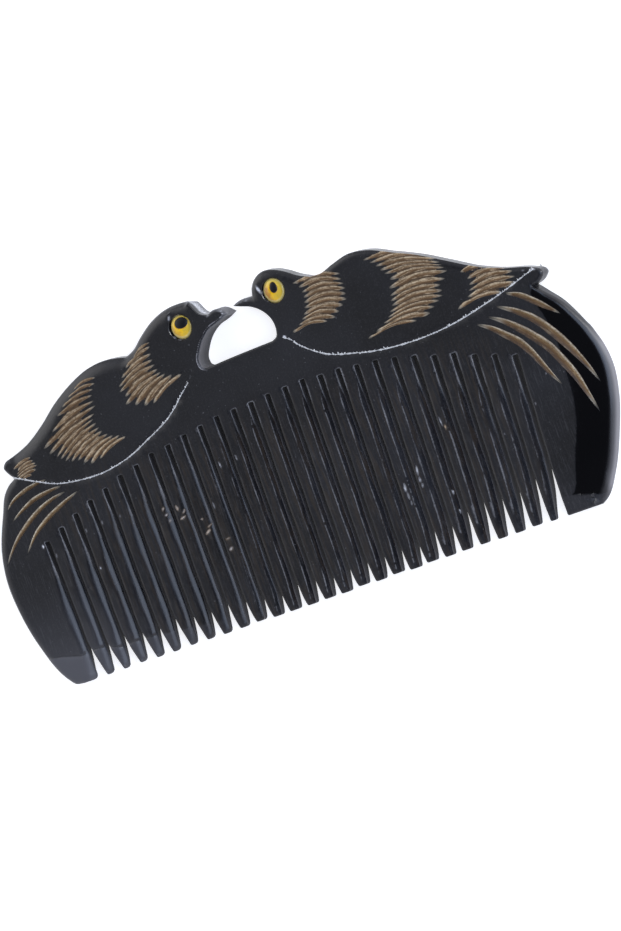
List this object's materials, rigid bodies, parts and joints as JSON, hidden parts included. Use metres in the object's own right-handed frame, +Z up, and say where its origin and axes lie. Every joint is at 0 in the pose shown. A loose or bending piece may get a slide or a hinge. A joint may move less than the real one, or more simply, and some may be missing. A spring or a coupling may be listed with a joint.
{
  "type": "horn comb",
  "caption": "Wide-backed horn comb cut from one plate, its spine carved as two birds facing each other over a half-moon opening.",
  "frame": {"origin": "under the middle of the bounding box, on the surface that the comb lies on", "axes": "+X along the length towards the longer bird, +Y from the tooth tips to the birds' backs, +Z up through the thickness, out of the carved face that shows"},
  "size_m": [0.15, 0.0686, 0.005],
  "materials": {
    "horn": "polished black horn, satin on the faces and glossy on the edges, with tan and chalk-white engraving",
    "chalk": "white chalk rubbed into the engraved line under each bird",
    "eye_yellow": "clear yellow inlay, polished",
    "eye_black": "black inlay, polished"
  },
  "bodies": {
    "root": {"comb": "horn", "left_eye_iris": "eye_yellow", "left_eye_pupil": "eye_black", "right_eye_iris": "eye_yellow", "right_eye_pupil": "eye_black"}
  },
  "joints": []
}
